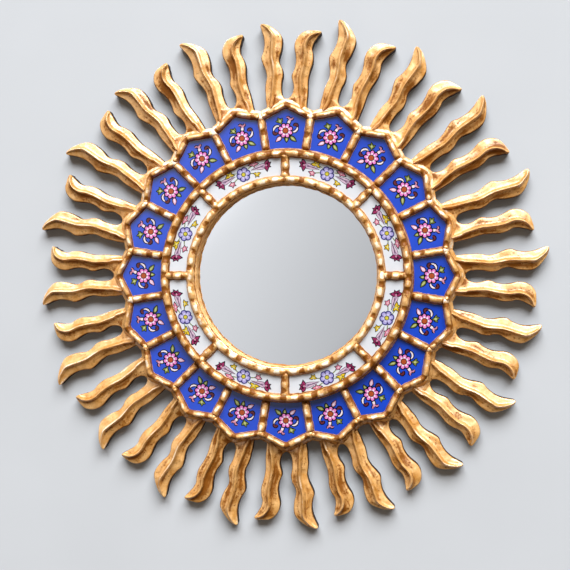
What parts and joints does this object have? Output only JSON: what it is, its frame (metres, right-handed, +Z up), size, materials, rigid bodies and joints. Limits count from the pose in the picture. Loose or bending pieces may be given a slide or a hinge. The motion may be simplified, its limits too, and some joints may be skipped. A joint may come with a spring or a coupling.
{
  "type": "sunburst mirror",
  "caption": "Round wall mirror in a carved gilt wood sunburst of wavy forked rays, with rings of blue and white reverse-painted glass tiles and a swinging D-ring hanger.",
  "frame": {"origin": "centre of the mirror, on the back of the backing panel, which lies on the wall", "axes": "+Z up on the wall, +X to the viewer's right, +Y out of the back into the wall, so that the front faces -Y"},
  "size_m": [0.6002, 0.0335, 0.6002],
  "materials": {
    "gilt_wood": "carved, gilded and antiqued with a brown wash",
    "bare_wood": "dark stained, matt",
    "blue_glass": "glossy, painted on the back",
    "white_glass": "glossy, painted on the back",
    "mirror": "silvered glass",
    "card": "plain",
    "hardboard": "pressed, matt",
    "steel": "nickel plated, worn"
  },
  "bodies": {
    "frame": {"base_ring": "bare_wood", "band_ring": "gilt_wood", "petal_frame": "gilt_wood", "mirror_glass": "mirror", "filler_card": "card", "backing_panel": "hardboard", "panel_screw_1": "steel", "panel_screw_2": "steel", "panel_screw_3": "steel", "hanger_strap": "steel", "hanger_screw": "steel", "band_tile_1": "white_glass", "band_tile_2": "white_glass", "band_tile_3": "white_glass", "band_tile_4": "white_glass", "band_tile_5": "white_glass", "band_tile_6": "white_glass", "band_tile_7": "white_glass", "band_tile_8": "white_glass", "petal_tile_01": "blue_glass", "petal_tile_02": "blue_glass", "petal_tile_03": "blue_glass", "petal_tile_04": "blue_glass", "petal_tile_05": "blue_glass", "petal_tile_06": "blue_glass", "petal_tile_07": "blue_glass", "petal_tile_08": "blue_glass", "petal_tile_09": "blue_glass", "petal_tile_10": "blue_glass", "petal_tile_11": "blue_glass", "petal_tile_12": "blue_glass", "petal_tile_13": "blue_glass", "petal_tile_14": "blue_glass", "petal_tile_15": "blue_glass", "petal_tile_16": "blue_glass", "petal_tile_17": "blue_glass", "petal_tile_18": "blue_glass", "petal_tile_19": "blue_glass", "petal_tile_20": "blue_glass", "ray_pair_01": "gilt_wood", "ray_pair_02": "gilt_wood", "ray_pair_03": "gilt_wood", "ray_pair_04": "gilt_wood", "ray_pair_05": "gilt_wood", "ray_pair_06": "gilt_wood", "ray_pair_07": "gilt_wood", "ray_pair_08": "gilt_wood", "ray_pair_09": "gilt_wood", "ray_pair_10": "gilt_wood", "ray_pair_11": "gilt_wood", "ray_pair_12": "gilt_wood", "ray_pair_13": "gilt_wood", "ray_pair_14": "gilt_wood", "ray_pair_15": "gilt_wood", "ray_pair_16": "gilt_wood", "ray_pair_17": "gilt_wood", "ray_pair_18": "gilt_wood", "ray_pair_19": "gilt_wood", "ray_pair_20": "gilt_wood"},
    "hanger_ring": {"hanger_ring": "steel"}
  },
  "joints": [
    {"name": "ring_swing", "type": "hinge", "parent": "frame", "child": "hanger_ring", "pos_m": [0, -0.0037, 0.152], "axis": [-1, 0, 0], "range_deg": [0, 160]}
  ]
}
